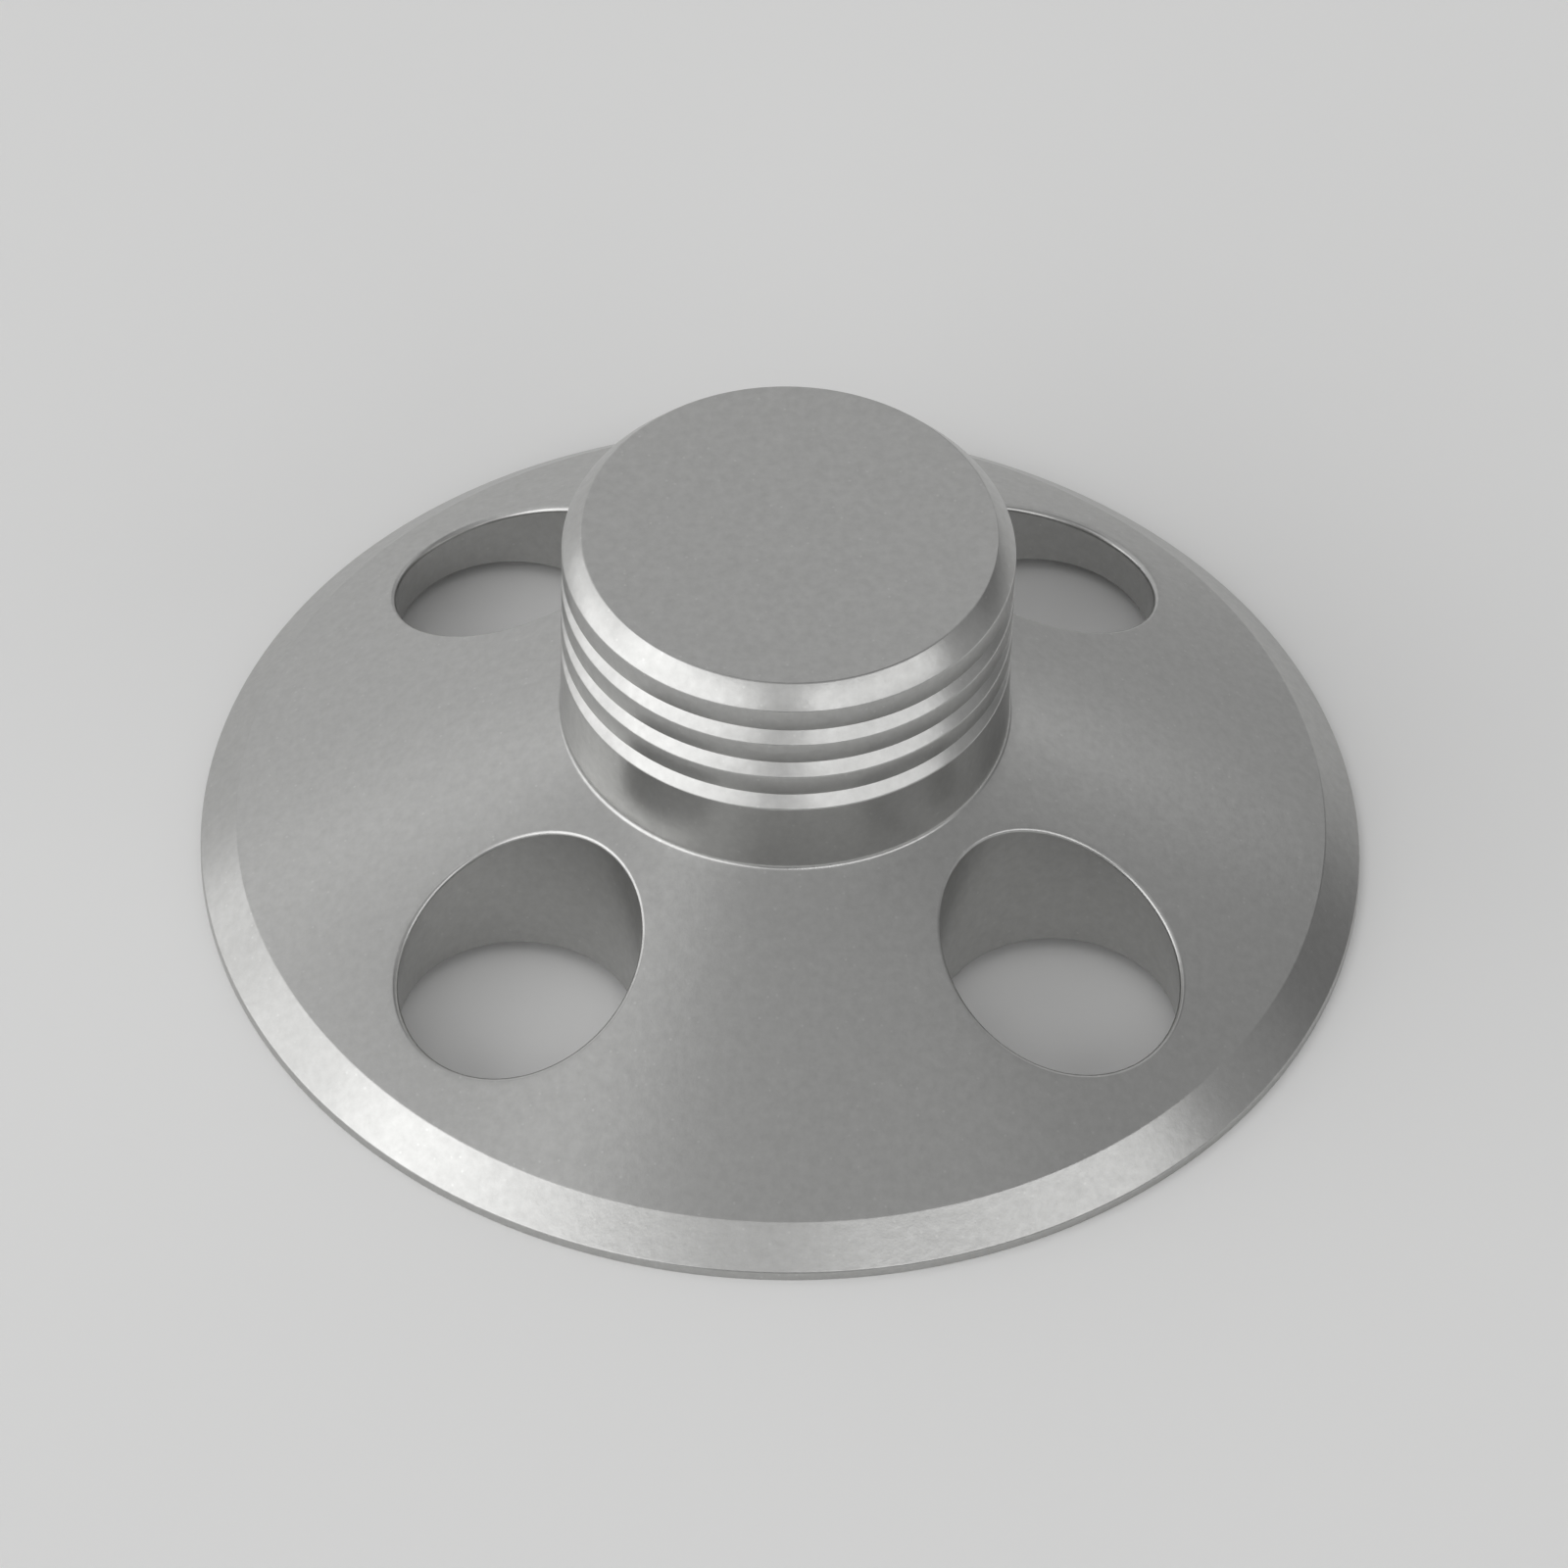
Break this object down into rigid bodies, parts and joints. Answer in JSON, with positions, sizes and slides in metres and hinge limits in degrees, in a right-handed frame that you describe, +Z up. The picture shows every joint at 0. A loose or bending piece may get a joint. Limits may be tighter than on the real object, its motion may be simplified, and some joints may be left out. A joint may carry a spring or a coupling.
{
  "type": "record weight",
  "caption": "Turned record weight: a low cone with round through holes and a chamfered rim under a grooved grip knob, with a blind bore in the underside for the turntable spindle.",
  "frame": {"origin": "on the turning axis, on the plane of the ring that the weight stands on", "axes": "+Z up along the turning axis, through the knob; the holes lie at 45 degrees to +X and +Y"},
  "size_m": [0.08, 0.08, 0.0305],
  "materials": {
    "blasted_aluminium": "fine bead-blasted satin, bare silver"
  },
  "bodies": {
    "root": {"record_weight": "blasted_aluminium"}
  },
  "joints": []
}
